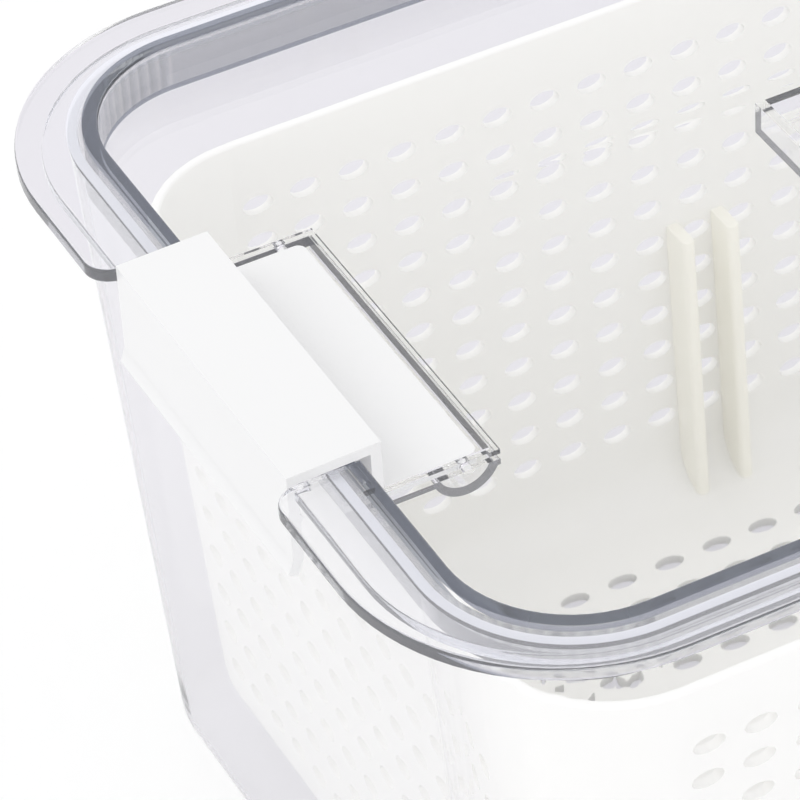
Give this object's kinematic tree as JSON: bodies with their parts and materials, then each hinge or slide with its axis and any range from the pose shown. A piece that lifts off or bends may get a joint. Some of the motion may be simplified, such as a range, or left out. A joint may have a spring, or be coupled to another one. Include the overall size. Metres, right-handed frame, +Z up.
{
  "type": "food storage container",
  "caption": "Clear rectangular food storage container with a white perforated basket inside and a clear sunk lid held by white swing latches at the ends",
  "frame": {"origin": "on the surface that the container stands on, under the middle of the bin", "axes": "+X runs along the container's length towards the right latch, +Y across its width, +Z up through the lid"},
  "size_m": [0.2864, 0.1968, 0.15],
  "materials": {
    "clear_plastic": "clear polished moulding",
    "basket_white": "satin white moulding",
    "latch_white": "satin white moulding"
  },
  "bodies": {
    "container": {"bin": "clear_plastic", "basket": "basket_white", "lid": "clear_plastic"},
    "latch_left": {"latch_left": "latch_white"},
    "latch_right": {"latch_right": "latch_white"}
  },
  "joints": [
    {"name": "latch_left_hinge", "type": "hinge", "parent": "container", "child": "latch_left", "pos_m": [-0.1079, 0, 0.139], "axis": [0, 1, 0], "range_deg": [0, 80]},
    {"name": "latch_right_hinge", "type": "hinge", "parent": "container", "child": "latch_right", "pos_m": [0.1079, 0, 0.139], "axis": [0, -1, 0], "range_deg": [0, 80]}
  ]
}
